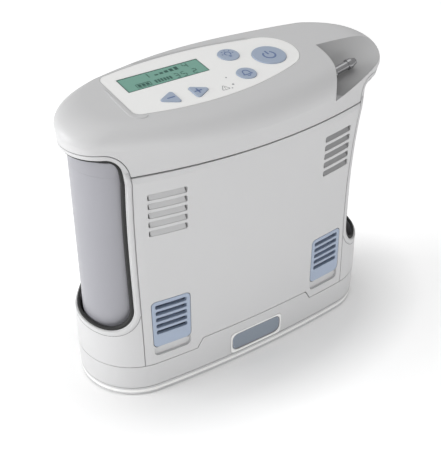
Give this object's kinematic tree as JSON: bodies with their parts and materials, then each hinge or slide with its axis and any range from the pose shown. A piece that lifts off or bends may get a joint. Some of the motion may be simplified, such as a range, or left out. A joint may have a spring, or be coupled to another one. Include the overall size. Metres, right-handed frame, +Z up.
{
  "type": "oxygen concentrator",
  "caption": "Portable oxygen concentrator: slim body with control panel and screen on top, sieve columns in the ends, barbed outlet and a slide-off battery base.",
  "frame": {"origin": "under the middle of the whole length and depth, on the plane of the rubber feet", "axes": "+X along the body towards the outlet end, -Y out of the front face, +Z up"},
  "size_m": [0.2176, 0.081, 0.1853],
  "materials": {
    "shell_white": "fine texture",
    "panel_white": "fine texture",
    "overlay_white": "satin film",
    "key_blue": "satin",
    "screen_glass": "clear",
    "screen_green": "printed",
    "board_green": "solder mask",
    "column_grey": "anodised",
    "cap_grey": "moulded",
    "frame_grey": "moulded",
    "cast_metal": "cast",
    "steel": "turned",
    "nozzle_metal": "plated",
    "contact_brass": "plated",
    "soft_rubber": "moulded",
    "port_rubber": "moulded",
    "foam_dark": "open cell",
    "black_plastic": "moulded",
    "cell_wrap": "sleeved",
    "clear_tube": "silicone"
  },
  "bodies": {
    "concentrator": {"button_switches": "steel", "cannula_nozzle": "nozzle_metal", "chassis": "frame_grey", "compressor_crankcase": "cast_metal", "compressor_head_left": "cast_metal", "compressor_head_right": "cast_metal", "compressor_motor": "steel", "compressor_mounts": "soft_rubber", "control_board": "board_green", "control_overlay": "overlay_white", "dc_jack": "black_plastic", "fan_frame": "black_plastic", "front_panel": "panel_white", "lcd_module": "screen_green", "lcd_window": "screen_glass", "left_column_foot": "cap_grey", "left_column_head": "cap_grey", "left_column_tube": "column_grey", "left_end_housing": "shell_white", "main_board": "board_green", "nozzle_nut": "steel", "outlet_filter": "clear_tube", "outlet_tube": "clear_tube", "panel_screws": "steel", "product_tank": "cast_metal", "rear_panel": "panel_white", "right_column_foot": "cap_grey", "right_column_head": "cap_grey", "right_column_tube": "column_grey", "right_end_housing": "shell_white", "solenoid_valves": "steel", "terminal_blades": "contact_brass", "terminal_block": "black_plastic", "top_shell": "shell_white", "usb_socket": "steel", "valve_manifold": "cap_grey", "vent_screens": "black_plastic", "window_seals": "soft_rubber"},
    "battery": {"battery_base": "shell_white", "battery_cover": "shell_white", "battery_socket": "black_plastic", "battery_cells": "cell_wrap", "battery_board": "board_green", "battery_feet": "soft_rubber", "latch_spring": "steel"},
    "latch": {"battery_latch": "key_blue"},
    "left_filter": {"left_filter_cover": "key_blue", "left_filter_foam": "foam_dark"},
    "right_filter": {"right_filter_cover": "key_blue", "right_filter_foam": "foam_dark"},
    "fan": {"fan_rotor": "black_plastic"},
    "crankshaft": {"compressor_crankshaft": "steel"},
    "piston_left": {"piston_left": "cast_metal"},
    "piston_right": {"piston_right": "cast_metal"},
    "power_key": {"power_button": "key_blue"},
    "light_key": {"light_button": "key_blue"},
    "alert_key": {"alert_button": "key_blue"},
    "minus_key": {"minus_button": "key_blue"},
    "plus_key": {"plus_button": "key_blue"},
    "port_flap": {"port_cover": "port_rubber"}
  },
  "joints": [
    {"name": "battery_slide", "type": "slide", "parent": "concentrator", "child": "battery", "axis": [0, -1, 0], "range_m": [0, 0.085]},
    {"name": "latch_press", "type": "slide", "parent": "battery", "child": "latch", "axis": [0, 0, -1], "range_m": [0, 0.0024], "stiffness_N_per_m": 300, "springref_m": -0.002, "deforming": ["latch_spring"]},
    {"name": "left_filter_pull", "type": "slide", "parent": "concentrator", "child": "left_filter", "axis": [0, -1, 0], "range_m": [0, 0.025]},
    {"name": "right_filter_pull", "type": "slide", "parent": "concentrator", "child": "right_filter", "axis": [0, -1, 0], "range_m": [0, 0.025]},
    {"name": "fan_spin", "type": "hinge", "parent": "concentrator", "child": "fan", "pos_m": [-0.0042, 0.0295, 0.112], "axis": [0, 1, 0], "continuous": true},
    {"name": "crank_spin", "type": "hinge", "parent": "concentrator", "child": "crankshaft", "pos_m": [-0.0042, 0, 0.057], "axis": [0, 1, 0], "continuous": true},
    {"name": "piston_left_stroke", "type": "slide", "parent": "concentrator", "child": "piston_left", "axis": [-1, 0, 0], "range_m": [-0.0025, 0.0025]},
    {"name": "piston_right_stroke", "type": "slide", "parent": "concentrator", "child": "piston_right", "axis": [1, 0, 0], "range_m": [-0.0025, 0.0025]},
    {"name": "power_key_press", "type": "slide", "parent": "concentrator", "child": "power_key", "axis": [0, 0.108, -0.9942], "range_m": [0, 0.0006], "stiffness_N_per_m": 600, "springref_m": -0.0006},
    {"name": "light_key_press", "type": "slide", "parent": "concentrator", "child": "light_key", "axis": [0, 0.108, -0.9942], "range_m": [0, 0.0006], "stiffness_N_per_m": 600, "springref_m": -0.0006},
    {"name": "alert_key_press", "type": "slide", "parent": "concentrator", "child": "alert_key", "axis": [0, 0.108, -0.9942], "range_m": [0, 0.0006], "stiffness_N_per_m": 600, "springref_m": -0.0006},
    {"name": "minus_key_press", "type": "slide", "parent": "concentrator", "child": "minus_key", "axis": [0, 0.108, -0.9942], "range_m": [0, 0.0006], "stiffness_N_per_m": 600, "springref_m": -0.0006},
    {"name": "plus_key_press", "type": "slide", "parent": "concentrator", "child": "plus_key", "axis": [0, 0.108, -0.9942], "range_m": [0, 0.0006], "stiffness_N_per_m": 600, "springref_m": -0.0006},
    {"name": "port_flap_swing", "type": "hinge", "parent": "concentrator", "child": "port_flap", "pos_m": [0.0458, 0.0364, 0.037], "axis": [0, 0, 1], "range_deg": [0, 100]}
  ]
}
